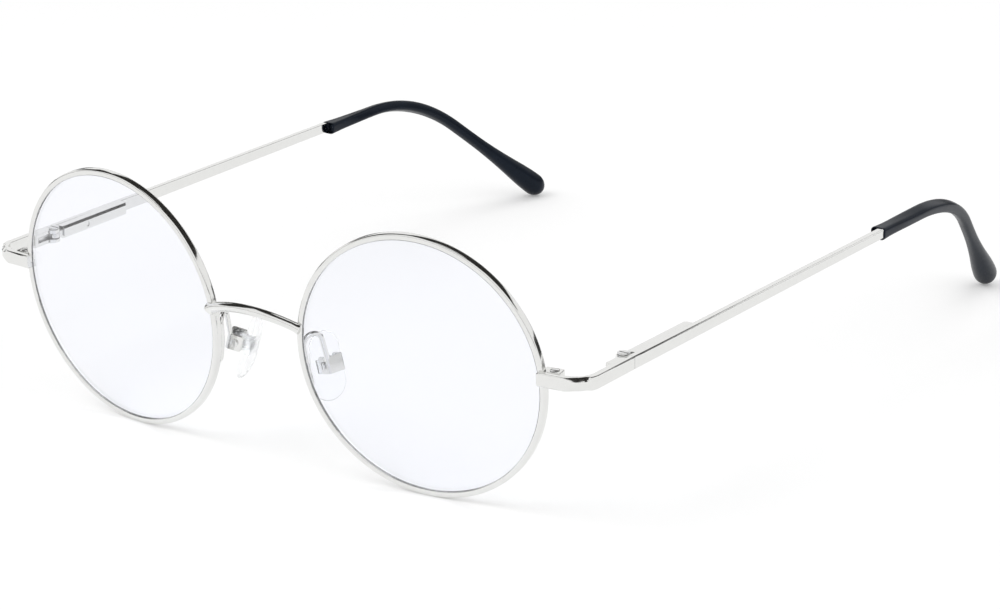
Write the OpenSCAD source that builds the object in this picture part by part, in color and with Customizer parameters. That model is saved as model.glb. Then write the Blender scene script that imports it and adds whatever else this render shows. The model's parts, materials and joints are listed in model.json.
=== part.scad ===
// Round metal eyeglasses: two grooved rims with closing blocks, an arched bridge,
// adjustable nose pads, sprung hinges, and slim temples that end in moulded tips.
// The front faces -Y, +Z is up, and +X is the wearer's left side.
// Every paired piece is drawn for the left side and mirrored for the right.

/* [Front] */
// Diameter of each round lens, measured at the tip of its bevel
lens_d = 45.9; // [38:0.1:52]
// Gap between the two lenses at the nose
nose_gap = 18.6; // [15:0.1:24]
// Turn of each rim, outer end towards the ears, in degrees
face_wrap = 5.9; // [0:0.1:9]
// Lean of the rims, tops forward, with the eyeglasses standing on a table, in degrees
face_tilt = 6.7; // [0:0.1:10]

/* [Rims] */
// Width of the rim wire, seen from the front
rim_w = 1.05; // [0.9:0.05:1.6]
// Depth of the rim wire, front to back
rim_depth = 1.5; // [1.4:0.05:2.2]
// Corner radius of the rim wire
rim_round = 0.3; // [0.1:0.05:0.4]
// Depth of the V groove that holds the lens
groove_depth = 0.45; // [0.3:0.05:0.6]
// Width of the V groove at its mouth
groove_w = 0.95; // [0.7:0.05:1.2]
// Height of the rim's split above the lens centre
split_up = 1.7; // [-1:0.1:4]
// Width of the split that lets the rim open
split_gap = 0.2; // [0.1:0.05:0.4]

/* [Lenses] */
// Thickness of each lens
lens_t = 1.2; // [1:0.05:1.4]
// Radius of the lens's front surface
lens_curve_r = 130; // [90:1:260]
// Gap between the lens and its groove
lens_gap = 0.05; // [0.02:0.01:0.1]

/* [Closing blocks] */
// How far the closing blocks reach outwards from the rim
block_w = 2.8; // [2.4:0.1:3.6]
// Depth of the closing blocks, front to back
block_depth = 2.0; // [1.8:0.1:2.6]
// Height of each closing block
block_h = 1.3; // [1:0.1:2]
// Radius of the closing screw's thread
closing_screw_r = 0.5; // [0.4:0.05:0.65]
// Radius of the closing screw's head
closing_head_r = 0.75; // [0.65:0.05:0.8]
// Height of the closing screw's head
closing_head_h = 0.4; // [0.3:0.05:0.6]

/* [Bridge] */
// Height of the bridge's ends above the lens centre
bridge_up = 3; // [1:0.1:6]
// Rise of the bridge's arch, middle over ends
bridge_rise = 2.7; // [1.5:0.1:4]
// Lean of the arch, forward from upright, in degrees
bridge_lean = 40; // [10:1:60]
// Thickness of the bridge wire
bridge_t = 1.45; // [1.2:0.05:2]
// Extra height of the bridge wire over its thickness
bridge_extra = 0.3; // [0.1:0.05:0.6]
// How far the bridge's ends reach past the middle of the rim wire
bridge_lap = 0.2; // [0:0.05:0.4]

/* [Endpieces] */
// How far the front reaches outwards from the rim to the temple's outer face
end_reach = 8.1; // [7:0.1:11]
// Height of the endpiece's middle above the lens centre
end_up = 2.1; // [0:0.1:4]
// Height of the endpiece
end_h = 2.35; // [2.1:0.05:3.2]
// Thickness of the endpiece
end_t = 1.25; // [1.1:0.05:1.4]
// How far the endpiece stands proud of the rim's front
end_proud = 0.9; // [0.7:0.05:1.1]
// Outer radius of the endpiece's bend
end_bend_r = 4.6; // [3.5:0.1:5.5]
// Length of the endpiece from its bend to the hinge
end_leg = 10.2; // [8:0.1:14]
// Bevel along the outer edges of the endpiece
end_bevel = 0.45; // [0.2:0.05:0.6]

/* [Hinges] */
// Distance from the hinge pin to the temple's outer face
pin_inset = 2.3; // [2.25:0.05:2.6]
// Radius of the hinge screw's shank
pin_r = 0.5; // [0.4:0.05:0.55]
// Radius of the round ends of the hinge block
ear_r = 1; // [0.95:0.01:1.03]
// Length of the hinge block in front of the pin
hinge_len = 5; // [3.5:0.25:7]
// Thickness of the hinge block's plate, inwards from the endpiece
plate_t = 1.1; // [0.9:0.05:1.6]
// Length of the hinge block's slot in front of the pin
slot_len = 4.2; // [1.5:0.1:4.5]
// Radius of the spring slide's eye
eye_r = 0.92; // [0.8:0.02:0.94]
// Thickness of the eye, along the pin
eye_t = 1; // [0.7:0.05:1.2]
// Radius of the hinge screw's head
head_r = 0.95; // [0.8:0.05:1.1]
// Height of the hinge screw's head
head_h = 0.33; // [0.25:0.01:0.5]
// Radial clearance of pins and rods in their bores
bore_gap = 0.04; // [0.02:0.01:0.08]
// Clearance between sliding or facing flats
flat_gap = 0.05; // [0.03:0.01:0.08]

/* [Spring housings] */
// Length of the spring housing
housing_len = 17.5; // [15.5:0.5:22]
// Distance from the pin to the front of the housing
housing_start = 1.9; // [1.7:0.1:2.6]
// How far the housing stands in from the temple's inner face
housing_w = 1.9; // [1.75:0.05:2.2]
// Height of the housing
housing_h = 2.25; // [2:0.05:2.8]
// Bevel along the inner edges of the housing
housing_bevel = 0.4; // [0.1:0.05:0.5]
// Radius of the housing's spring chamber
chamber_r = 0.65; // [0.6:0.01:0.68]
// Radius of the slide's rod
rod_r = 0.38; // [0.3:0.01:0.4]
// Length of the slide's neck behind the pin
neck_len = 3.4; // [3:0.1:4.5]
// Width of the slide's neck
neck_w = 1.2; // [0.9:0.05:1.3]
// Thickness of the chamber's front wall
front_wall = 0.8; // [0.5:0.1:1.2]
// Length of the coil spring
spring_len = 7.5; // [5:0.5:8]
// Thickness of the coil spring's wire
spring_wire = 0.16; // [0.1:0.01:0.18]
// Length of the stop at the rod's end
stop_len = 1; // [0.6:0.1:1.4]
// Offset of the rod outwards from the pin
rod_shift = 0.15; // [0.1:0.05:0.2]
// Room behind the stop at the rod's end
stop_room = 1.2; // [0.8:0.1:2]

/* [Temples] */
// Thickness of the temple bar
bar_t = 1.2; // [1:0.05:1.22]
// Height of the temple bar at the tip
bar_end_h = 1.8; // [1.4:0.05:2.2]
// Distance from the hinge pin to the start of the tip
bar_len = 82.2; // [60:0.1:100]
// Rise of the temple towards the ear, in degrees
bar_slope = 0.95; // [0:0.05:3]
// Bevel along the outer edges of the temple bar
bar_bevel = 0.3; // [0.1:0.05:0.4]
// Radius of the wire core inside the tip
core_r = 0.45; // [0.35:0.01:0.5]

/* [Tips] */
// Length of the tip before its bend
tip_lead = 14.3; // [8:0.1:30]
// Radius of the tip's bend
tip_bend_r = 36; // [25:1:60]
// Angle of the tip's bend, in degrees
tip_angle = 41.5; // [20:0.1:60]
// Length of the tip after its bend
tip_tail = 29.5; // [20:0.05:40]
// Lean of the tip inwards from upright, in degrees
tip_lean = 19; // [0:1:30]
// How far the tip's middle lies below the bar's middle
tip_low = 0.14; // [0:0.02:0.3]
// Thickness of the tip at its start
tip_start_t = 2.04; // [1.9:0.02:2.6]
// Width of the tip at its start, across the temple
tip_start_w = 2.56; // [2.4:0.02:3]
// Thickness of the tip near its end
tip_end_t = 4.6; // [2.6:0.1:5]
// Width of the tip near its end
tip_end_w = 4.6; // [3:0.1:6]
// How far the tip's middle lies in from the wire core
tip_in = 0.55; // [0.4:0.05:0.6]
// Distance from the end of the wire core to the end of the tip
core_short = 8; // [5:1:14]

/* [Nose pads] */
// Diameter of the pad arm's wire
arm_d = 0.9; // [0.7:0.05:1]
// Length of the arm's foot along the rim's back
foot_len = 7; // [4:0.5:9]
// Height of the top of the foot above the lens centre
foot_up = -0.4; // [-2:0.1:1]
// Radius of the arm's loop
loop_r = 1.8; // [1.4:0.05:2.2]
// Length of the arm from its loop to the pad box
arm_drop = 3.9; // [3:0.1:4.5]
// Direction of the arm, from straight back towards the ear, in degrees
arm_turn = 28; // [10:1:45]
// Width of the pad box, along its screw
box_w = 3.2; // [2.6:0.05:3.6]
// Depth of the pad box, towards the nose
box_depth = 3; // [2.6:0.05:3.4]
// Height of the pad box
box_h = 2.9; // [2.4:0.1:3.6]
// Wall of the pad box
box_wall = 0.45; // [0.3:0.05:0.5]
// Radius of the pad screw's shank
pad_pin_r = 0.33; // [0.25:0.01:0.35]
// Length of each nose pad
pad_len = 12; // [10:0.5:16]
// Width of each nose pad near its bottom
pad_w = 6.8; // [6:0.25:9]
// Width of each nose pad near its top
pad_top_w = 5.6; // [4.5:0.1:6]
// Thickness of each nose pad
pad_t = 2; // [1.6:0.1:3]
// Distance from the pad box to the pad
pad_stand = 0.35; // [0.3:0.05:1]
// Turn of the pads, from facing straight back towards facing each other, in degrees
pad_turn = 64; // [40:1:75]
// Lean of the pads, bottoms apart, in degrees
pad_lean = 17; // [10:1:30]
// Lean of the pads, tops back, in degrees
pad_twist = 8; // [0:1:15]
// How far the middle of the pad lies below its screw
pad_drop = 0.5; // [0:0.25:2]

/* [Hidden] */

$fn = 48;
ring_fn = 180;
curve_fn = 1080;
left = 1;
right = -1;
// Extra length of a cutting shape past the face that it cuts
overrun = 1;
// Width and depth of the slots in the screw heads
driver_w = 0.24;
driver_depth = 0.16;

// Depth by which brazed pieces run into each other
braze = 0.1;
// Extra radius of the small ball where two lengths of wire meet
joint_ball = 0.03;
// Depth by which the endpiece and bridge run into the front of the rim
seat = end_t - end_proud;

// Rim: radii of its groove, inner edge and outer edge, and the middle of its depth
groove_r = lens_d / 2 + lens_gap;
rim_in_r = groove_r - groove_depth;
rim_out_r = rim_in_r + rim_w;
rim_mid = rim_depth / 2;
lens_body_r = rim_in_r - lens_gap;
lens_x = (lens_d + nose_gap) / 2;

// The rims touch the table, so the lens centre's height follows from their lean
axis_z = sin(face_tilt) * cos(face_wrap);
lens_z = (rim_out_r - rim_round) * sqrt(1 - axis_z * axis_z) + rim_round * (1 - axis_z);

// Closing blocks: inner and outer ends, rounded corner and the screw's place
block_lap = 0.5;
block_in = rim_out_r - block_lap;
block_out = rim_out_r + block_w;
block_corner = 0.4;
block_screw_x = rim_out_r + block_w / 2;
block_screw_y = seat - braze + block_depth / 2;

// Bend of the endpiece: its centre, before the model is moved to its origin
outer_x = lens_x + rim_out_r * cos(face_wrap) + end_reach;
bend_x = outer_x - end_bend_r;
tilt_back = -end_up * tan(face_tilt);
bend_y = tilt_back + (end_bend_r - end_proud + (bend_x - lens_x) * sin(face_wrap)) / cos(face_wrap);
bend_angle = 90 - face_wrap;
// Room between the endpiece and the lower closing block
block_room = 0.3;
inner_leg = (bend_x - lens_x) * cos(face_wrap) + (bend_y - tilt_back) * sin(face_wrap) - rim_in_r;

// Hinge pin, and the pieces about it in the hinge's frame
hinge_x = outer_x - pin_inset;
hinge_y = bend_y + end_leg;
hinge_z = lens_z + end_up + hinge_y * tan(bar_slope);
end_in_x = pin_inset - end_t;
bar_in_x = pin_inset - bar_t;
eye_half = eye_t / 2;
slot_half = eye_half + flat_gap;
head_z = end_h / 2 + flat_gap / 2;
knuckle_len = 1.4;
housing_end = housing_start + housing_len;
housing_in_x = bar_in_x - housing_w;
housing_end_cut = 1.1;
neck_room = 0.5;
chamber_start = neck_len + neck_room + flat_gap + front_wall;
// Small round mark on the housing's inner face
mark_y = housing_start + 6.2;
mark_r = 0.45;
mark_depth = 0.12;
rod_end = chamber_start + spring_len + stop_len;

// Tip: path and sections, in the hinge's frame
core_x = bar_in_x + core_r + flat_gap;
tip_x = core_x - tip_in;
tip_sides = 24;
tip_swell = 3.5;
tip_start_edge = 0.9;
least_cap = 0.02;
bend_steps = 9;
tail_steps = 8;
bend_arc = tip_bend_r * tip_angle * PI / 180;
tip_len = tip_lead + bend_arc + tip_tail;
tip_cap = 0.62 * tip_end_t;
tip_drop_dir = [-sin(tip_lean), 0, -cos(tip_lean)];
tip_side_dir = [cos(tip_lean), 0, -sin(tip_lean)];
lead_stations = [0, 0.3, tip_lead];
bend_stations = [for (i = [1 : bend_steps]) tip_lead + bend_arc * i / bend_steps];
tail_stations = [for (i = [1 : tail_steps]) tip_lead + bend_arc + (tip_tail - tip_cap) * i / tail_steps];
cap_stations = [for (a = [20 : 20 : 80]) tip_len - tip_cap + tip_cap * sin(a)];
stations = concat(lead_stations, bend_stations, tail_stations, cap_stations, [tip_len - 0.01]);

function tip_turn(s) = s < tip_lead ? 0 : min(tip_angle, (s - tip_lead) / tip_bend_r * 180 / PI);
function tip_along(s) =
    min(s, tip_lead) + tip_bend_r * sin(tip_turn(s)) + max(0, s - tip_lead - bend_arc) * cos(tip_angle);
function tip_down(s) =
    tip_bend_r * (1 - cos(tip_turn(s))) + max(0, s - tip_lead - bend_arc) * sin(tip_angle);
function tip_grow(s) = pow(max(0, (s - tip_lead) / (tip_len - tip_cap - tip_lead)), tip_swell);
function tip_round(s) = sqrt(max(pow(least_cap, 2), 1 - pow(max(0, s - tip_len + tip_cap) / tip_cap, 2)));
function tip_edge(s) = s == 0 ? tip_start_edge : 1;
function tip_size(s, start, end) =
    (start + (end - start) * min(1, tip_grow(s))) / 2 * tip_round(s) * tip_edge(s);
function tip_centre(s) =
    [tip_x, bar_len + tip_along(s), -tip_low] + tip_down(s) * tip_drop_dir;
function tip_normal(s) = -sin(tip_turn(s)) * [0, 1, 0] + cos(tip_turn(s)) * tip_drop_dir;
function tip_ring(s) = [for (i = [0 : tip_sides - 1])
    tip_centre(s) + tip_size(s, tip_start_t, tip_end_t) * cos(360 * i / tip_sides) * tip_normal(s)
        + tip_size(s, tip_start_w, tip_end_w) * sin(360 * i / tip_sides) * tip_side_dir];
tip_points = [for (s = stations) each tip_ring(s)];

// Bridge: its half span and the radius of its arch
bridge_foot = sqrt(pow(rim_in_r + rim_w / 2, 2) - bridge_up * bridge_up) - bridge_lap;
bridge_half = lens_x - bridge_foot * cos(face_wrap);
bridge_r = (bridge_half * bridge_half + bridge_rise * bridge_rise) / (2 * bridge_rise);
bridge_angle = asin(bridge_half / bridge_r);
bridge_y = -(lens_x - bridge_half) * tan(face_wrap) - bridge_up * tan(face_tilt);
bridge_front = bridge_y - bridge_rise * sin(bridge_lean)
    - bridge_extra / 2 * sin(bridge_lean) - bridge_t / 2;

// The origin lies under the middle of the box round the eyeglasses
tip_back = max([for (p = tip_points) hinge_y + p[1] * cos(bar_slope) - p[2] * sin(bar_slope)]);
centre_y = (bridge_front + tip_back) / 2;

// Nose pads: wire radius, places of the loop and the pad screw
arm_r = arm_d / 2;
foot_r = rim_in_r + rim_w / 2;
foot_depth = rim_depth + arm_r - braze;
loop_angle = 170;
arm_sink = 0.3;
loop_out = loop_r * (1 - cos(loop_angle)) + arm_drop * sin(loop_angle);
loop_fall = loop_r * sin(loop_angle) + arm_drop * cos(loop_angle);
lug_r = box_depth / 2 - box_wall - flat_gap;
lug_w = box_w - 2 * (box_wall + flat_gap);
box_corner_cut = 0.6;
box_round = 0.4;
pad_front = box_depth / 2 + pad_stand;
pad_top_r = pad_top_w / 2;
pad_low_r = pad_w / 2;

// Pad core: a flange that the soft pad is moulded round
flange_y = pad_front + 0.5;
flange_t = 0.5;
flange_w = lug_w + 0.8;
flange_low = -1.6;
flange_h = 2.4;

module on_side(side) {
    if (side == left) children();
    else mirror([1, 0, 0]) children();
}

// Frame of the left rim: X across, Y back, Z up, from the lens centre at the rim's front
module rim_frame() {
    translate([0, -centre_y, lens_z]) rotate([face_tilt, 0, 0])
        translate([lens_x, 0, 0]) rotate([0, 0, face_wrap]) children();
}

// Frame of the left hinge: X outwards, Y back along the temple, Z along the pin
module hinge_frame() {
    translate([hinge_x, hinge_y - centre_y, hinge_z]) rotate([bar_slope, 0, 0]) children();
}

// Frame of the left pad arm: X away from the rim, Z up, from the top of the foot
module arm_frame() {
    rim_frame() translate([-foot_r, foot_depth, foot_up]) rotate([0, 0, 90 - arm_turn]) children();
}

// Frame of the left pad box: X back along its screw, Y towards the nose, Z up
module pad_frame() {
    arm_frame() translate([loop_out, 0, loop_fall]) rotate([0, 0, arm_turn - 90 + pad_turn])
        rotate([-pad_lean, 0, 0])
            translate([box_w / 2 - arm_r, box_depth / 2 - arm_r, arm_sink - box_h / 2]) children();
}

// Turns a profile drawn as radius and depth about the rim's axis
module round_the_rim(start, turn) {
    rotate([90, 0, 0]) rotate([0, 0, start]) rotate_extrude(angle = turn, $fn = ring_fn)
        mirror([0, 1]) children();
}

module rounded_box(w, h, r) {
    translate([r, 0]) square([w - 2 * r, h]);
    translate([0, r]) square([w, h - 2 * r]);
    for (x = [r, w - r], y = [r, h - r])
        translate([x, y]) circle(r);
}

// Wire section along an arm: t is measured inwards from the outer face
module bar_section(t, h, bevel) {
    polygon([
        [bevel, -h / 2], [0, bevel - h / 2], [0, h / 2 - bevel], [bevel, h / 2],
        [t, h / 2], [t, -h / 2]
    ]);
}

// A prism that cuts a bevel along an edge from y0 to y1, centred on that edge
module edge_cut(x, y0, z0, y1, z1, bevel) {
    run = y1 - y0;
    translate([x, (y0 + y1) / 2, (z0 + z1) / 2]) rotate([atan2(z1 - z0, run), 0, 0])
        rotate([0, 45, 0]) cube([bevel * sqrt(2), run + 2 * overrun, bevel * sqrt(2)], center = true);
}

// Slot across a screw's head whose top lies at z
module driver_slot(r, z) {
    translate([-r - overrun, -driver_w / 2, z - driver_depth])
        cube([2 * (r + overrun), driver_w, driver_depth + overrun]);
}

// Cylinder along Y, starting at y
module y_rod(r, y, len, x = 0) {
    translate([x, y, 0]) rotate([-90, 0, 0]) cylinder(r = r, h = len);
}

// Rims, lenses and closing blocks

module rim(side) {
    color("silver") on_side(side) rim_frame() difference() {
        round_the_rim(0, 360) difference() {
            translate([rim_in_r, 0]) rounded_box(rim_w, rim_depth, rim_round);
            polygon([
                [rim_in_r - overrun, rim_mid - groove_w / 2 - overrun * groove_w / 2 / groove_depth],
                [groove_r, rim_mid],
                [rim_in_r - overrun, rim_mid + groove_w / 2 + overrun * groove_w / 2 / groove_depth]
            ]);
        }
        translate([rim_in_r - overrun, -overrun, split_up - split_gap / 2])
            cube([rim_w + 2 * overrun, rim_depth + 2 * overrun, split_gap]);
    }
}

module lens(side) {
    back_r = lens_curve_r - lens_t;
    edge_front = lens_curve_r - sqrt(pow(lens_curve_r, 2) - pow(lens_body_r, 2));
    edge_back = lens_curve_r - sqrt(pow(back_r, 2) - pow(lens_body_r, 2));
    edge_mid = (edge_front + edge_back) / 2;
    bevel_r = lens_d / 2;
    bevel_half = (groove_w / 2 - lens_gap) * (bevel_r - lens_body_r) / groove_depth;
    color([0.9, 0.94, 1, 0.35]) on_side(side) rim_frame() round_the_rim(0, 360)
        translate([0, rim_mid - edge_mid]) {
            intersection() {
                difference() {
                    translate([0, lens_curve_r]) circle(lens_curve_r, $fn = curve_fn);
                    translate([0, lens_curve_r]) circle(back_r, $fn = curve_fn);
                }
                square([lens_body_r, edge_back + overrun]);
            }
            polygon([
                [lens_body_r - 0.1, edge_mid - bevel_half],
                [lens_body_r, edge_mid - bevel_half],
                [bevel_r, edge_mid],
                [lens_body_r, edge_mid + bevel_half],
                [lens_body_r - 0.1, edge_mid + bevel_half]
            ]);
        }
}

module closing_block(front, low, bore_r) {
    depth = seat - braze + block_depth - front;
    length = block_out - block_in;
    difference() {
        union() {
            translate([block_in, front, low]) cube([length - block_corner, depth, block_h]);
            translate([block_in, front, low]) cube([length, depth - block_corner, block_h]);
            translate([block_out - block_corner, front + depth - block_corner, low])
                cylinder(r = block_corner, h = block_h);
        }
        translate([block_screw_x, block_screw_y, low - overrun])
            cylinder(r = bore_r, h = block_h + 2 * overrun);
    }
}

module upper_block(side) {
    low = split_up + split_gap / 2;
    color("silver") on_side(side) rim_frame() difference() {
        closing_block(seat - braze, low, closing_screw_r + bore_gap);
        translate([block_screw_x, block_screw_y, low + block_h - closing_head_h])
            cylinder(r = closing_head_r + bore_gap, h = closing_head_h + overrun);
    }
}

module lower_block(side) {
    color("silver") on_side(side) rim_frame()
        closing_block(seat - braze, split_up - split_gap / 2 - block_h, closing_screw_r + bore_gap / 2);
}

module closing_screw(side) {
    length = 2 * block_h + split_gap;
    color("gainsboro") on_side(side) rim_frame()
        translate([block_screw_x, block_screw_y, split_up - length / 2]) difference() {
            union() {
                cylinder(r = closing_screw_r, h = length);
                translate([0, 0, length - closing_head_h + flat_gap / 2])
                    cylinder(r = closing_head_r, h = closing_head_h);
            }
            driver_slot(closing_head_r, length + flat_gap / 2);
        }
}

// Bridge

module bridge() {
    color("silver") difference() {
        translate([0, bridge_y - centre_y, lens_z + bridge_up]) rotate([bridge_lean, 0, 0])
            translate([0, 0, bridge_rise - bridge_r]) rotate([90, 0, 0])
                rotate([0, 0, 90 - bridge_angle]) rotate_extrude(angle = 2 * bridge_angle, $fn = ring_fn)
                    translate([bridge_r, 0]) {
                        square([bridge_extra, bridge_t], center = true);
                        for (x = [-1, 1])
                            translate([x * bridge_extra / 2, 0]) circle(bridge_t / 2);
                    }
        for (side = [left, right])
            on_side(side) rim_frame() y_rod(rim_out_r, seat, 2 * rim_depth);
    }
}

// Endpieces and hinges

module endpiece(side) {
    color("silver") on_side(side) difference() {
        hinge_frame() {
            rotate([90, 0, 0]) linear_extrude(end_leg)
                translate([pin_inset, 0]) mirror([1, 0]) bar_section(end_t, end_h, end_bevel);
            translate([bend_x - hinge_x, -end_leg, 0]) rotate([0, 0, -bend_angle]) {
                rotate_extrude(angle = bend_angle, $fn = ring_fn)
                    translate([end_bend_r, 0]) mirror([1, 0]) bar_section(end_t, end_h, end_bevel);
                rotate([90, 0, 0]) linear_extrude(inner_leg)
                    translate([end_bend_r, 0]) mirror([1, 0]) bar_section(end_t, end_h, end_bevel);
            }
        }
        rim_frame() translate([rim_in_r - overrun, -flat_gap, split_up + split_gap / 2 - 2 * end_h])
            cube([block_out + block_room - rim_in_r + overrun, seat + end_t, 2 * end_h]);
    }
}

module hinge_block(side) {
    color("silver") on_side(side) hinge_frame() difference() {
        union() {
            translate([end_in_x - plate_t, -hinge_len, -end_h / 2])
                cube([plate_t + braze, hinge_len, end_h]);
            translate([-ear_r, -knuckle_len, -end_h / 2])
                cube([ear_r + end_in_x + braze, knuckle_len, end_h]);
            translate([0, 0, -end_h / 2]) cylinder(r = ear_r, h = end_h);
        }
        translate([0, 0, -slot_half]) cylinder(r = end_in_x - flat_gap / 2, h = 2 * slot_half);
        translate([-ear_r - overrun, -slot_len, -slot_half])
            cube([ear_r + overrun + end_in_x / 2, slot_len, 2 * slot_half]);
        translate([-ear_r - overrun, 0, -slot_half])
            cube([2 * (ear_r + overrun), ear_r + overrun, 2 * slot_half]);
        translate([0, 0, -end_h]) cylinder(r = pin_r + bore_gap, h = 2 * end_h);
        translate([-ear_r, -knuckle_len, 0]) rotate([0, 0, 45])
            cube([ear_r, ear_r, end_h + overrun], center = true);
    }
}

module hinge_screw(side) {
    color("gainsboro") on_side(side) hinge_frame() difference() {
        union() {
            translate([0, 0, -end_h / 2]) cylinder(r = pin_r, h = end_h);
            translate([0, 0, head_z]) cylinder(r = head_r, h = head_h);
            cylinder(r = pin_r, h = head_z);
        }
        driver_slot(head_r, head_z + head_h);
    }
}

module spring_slide(side) {
    color("gainsboro") on_side(side) hinge_frame() difference() {
        union() {
            translate([0, 0, -eye_half]) cylinder(r = eye_r, h = eye_t);
            translate([rod_shift - neck_w / 2, 0, -eye_half]) cube([neck_w, neck_len, eye_t]);
            y_rod(rod_r, neck_len - braze, rod_end - neck_len + braze, rod_shift);
        }
        translate([0, 0, -eye_t]) cylinder(r = pin_r + bore_gap, h = 2 * eye_t);
    }
}

module hinge_spring(side) {
    coil_r = rod_r + bore_gap;
    color("gray") on_side(side) hinge_frame() difference() {
        y_rod(coil_r + spring_wire, chamber_start + flat_gap, spring_len - 2 * flat_gap, rod_shift);
        y_rod(coil_r, chamber_start - overrun, spring_len + 2 * overrun, rod_shift);
    }
}

module spring_stop(side) {
    color("gainsboro") on_side(side) hinge_frame() difference() {
        y_rod(chamber_r - bore_gap, chamber_start + spring_len, stop_len, rod_shift);
        y_rod(rod_r, chamber_start, spring_len + stop_len + overrun, rod_shift);
    }
}

module spring_housing(side) {
    color("silver") on_side(side) hinge_frame() difference() {
        translate([housing_in_x, housing_start, -housing_h / 2])
            cube([housing_w + braze, housing_len, housing_h]);
        translate([rod_shift - neck_w / 2 - flat_gap, housing_start - overrun, -slot_half])
            cube([neck_w + 2 * flat_gap, neck_len + neck_room - housing_start + overrun, 2 * slot_half]);
        y_rod(rod_r + bore_gap, housing_start, chamber_start - housing_start + overrun, rod_shift);
        y_rod(chamber_r, chamber_start, spring_len + stop_len + stop_room, rod_shift);
        for (z = [-housing_h / 2, housing_h / 2])
            edge_cut(housing_in_x, housing_start, z, housing_end, z, housing_bevel);
        translate([housing_in_x, housing_end, 0]) rotate([0, 0, 45])
            cube([housing_end_cut, housing_end_cut, housing_h + overrun], center = true);
        translate([housing_in_x - overrun, mark_y, 0]) rotate([0, 90, 0])
            cylinder(r = mark_r, h = overrun + mark_depth);
    }
}

// Temples

// The core is straight, bends with the tip and runs straight again, with a small ball at each joint
module tip_core(r, start, short) {
    bend_z = tip_bend_r * (1 - cos(tip_angle));
    bend_end = bar_len + tip_lead + tip_bend_r * sin(tip_angle);
    translate([core_x, 0, 0]) rotate([0, tip_lean, 0]) {
        y_rod(r, start, bar_len + tip_lead - start);
        translate([0, bar_len + tip_lead, 0]) sphere(r + joint_ball);
        translate([0, bar_len + tip_lead, -tip_bend_r]) rotate([0, 90, 0])
            rotate([0, 0, 180 - tip_angle]) rotate_extrude(angle = tip_angle, $fn = ring_fn)
                translate([tip_bend_r, 0]) circle(r);
        translate([0, bend_end, -bend_z]) {
            sphere(r + joint_ball);
            rotate([-90 - tip_angle, 0, 0]) cylinder(r = r, h = tip_tail - short);
        }
    }
}

module temple_bar(side) {
    start_h = end_h / 2;
    stop_h = bar_end_h / 2;
    color("silver") on_side(side) hinge_frame() {
        difference() {
            translate([bar_in_x, 0, 0]) rotate([90, 0, 90]) linear_extrude(bar_t) polygon([
                [flat_gap, -start_h], [bar_len, -stop_h], [bar_len, stop_h], [flat_gap, start_h]
            ]);
            for (s = [-1, 1])
                edge_cut(pin_inset, 0, s * start_h, bar_len, s * stop_h, bar_bevel);
        }
        tip_core(core_r, bar_len - overrun, core_short);
    }
}

module temple_tip(side) {
    rings = len(stations);
    faces = concat(
        [[for (i = [0 : tip_sides - 1]) i]],
        [for (r = [0 : rings - 2], i = [0 : tip_sides - 1])
            let (a = r * tip_sides + i, b = r * tip_sides + (i + 1) % tip_sides)
            each [[a, a + tip_sides, b + tip_sides], [a, b + tip_sides, b]]],
        [[for (i = [tip_sides - 1 : -1 : 0]) (rings - 1) * tip_sides + i]]
    );
    color([0.08, 0.09, 0.13]) on_side(side) hinge_frame() difference() {
        polyhedron(tip_points, faces);
        tip_core(core_r + bore_gap / 2, bar_len - overrun, core_short - flat_gap);
    }
}

// Nose pads

module pad_arm(side) {
    color("silver") on_side(side) {
        rim_frame() translate([0, foot_depth, 0]) rotate([90, 0, 0])
            rotate([0, 0, 180 + asin(-foot_up / foot_r)])
                rotate_extrude(angle = foot_len / foot_r * 180 / PI, $fn = ring_fn)
                    translate([foot_r, 0]) circle(arm_r);
        arm_frame() {
            sphere(arm_r + joint_ball);
            translate([loop_r, 0, 0]) rotate([90, 0, 0]) rotate([0, 0, 180 - loop_angle])
                rotate_extrude(angle = loop_angle, $fn = ring_fn) translate([loop_r, 0]) circle(arm_r);
            translate([loop_r * (1 - cos(loop_angle)), 0, loop_r * sin(loop_angle)]) {
                sphere(arm_r + joint_ball);
                rotate([0, loop_angle, 0]) cylinder(r = arm_r, h = arm_drop);
            }
        }
    }
}

module pad_box(side) {
    color("silver") on_side(side) pad_frame() difference() {
        translate([-box_w / 2, -box_depth / 2, -box_h / 2])
            linear_extrude(box_h) rounded_box(box_w, box_depth, box_round);
        translate([box_wall - box_w / 2, box_wall - box_depth / 2, -box_h])
            cube([box_w - 2 * box_wall, box_depth, 2 * box_h]);
        for (s = [-1, 1])
            translate([0, box_depth / 2, s * box_h / 2]) rotate([45, 0, 0])
                cube([box_w + overrun, box_corner_cut, box_corner_cut], center = true);
        rotate([0, 90, 0]) cylinder(r = pad_pin_r + bore_gap, h = box_w + overrun, center = true);
    }
}

module pad_screw(side) {
    pad_head_r = 2 * pad_pin_r;
    pad_head_h = 0.35;
    start = box_w / 2 + flat_gap / 2;
    color("gainsboro") on_side(side) pad_frame() rotate([0, -90, 0]) difference() {
        union() {
            translate([0, 0, -box_w / 2]) cylinder(r = pad_pin_r, h = box_w / 2 + start);
            translate([0, 0, start]) cylinder(r = pad_head_r, h = pad_head_h);
        }
        driver_slot(pad_head_r, start + pad_head_h);
    }
}

module pad_core(side) {
    color("ghostwhite") on_side(side) pad_frame() difference() {
        union() {
            rotate([0, 90, 0]) cylinder(r = lug_r, h = lug_w, center = true);
            translate([-lug_w / 2, 0, -lug_r]) cube([lug_w, flange_y, 2 * lug_r]);
            translate([-flange_w / 2, flange_y - braze, flange_low])
                cube([flange_w, flange_t + braze, flange_h]);
        }
        rotate([0, 90, 0]) cylinder(r = pad_pin_r + bore_gap, h = 2 * lug_w, center = true);
    }
}

module pad_end(r) {
    scale([1, pad_t / r, 1]) sphere(r, $fn = 32);
}

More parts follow.
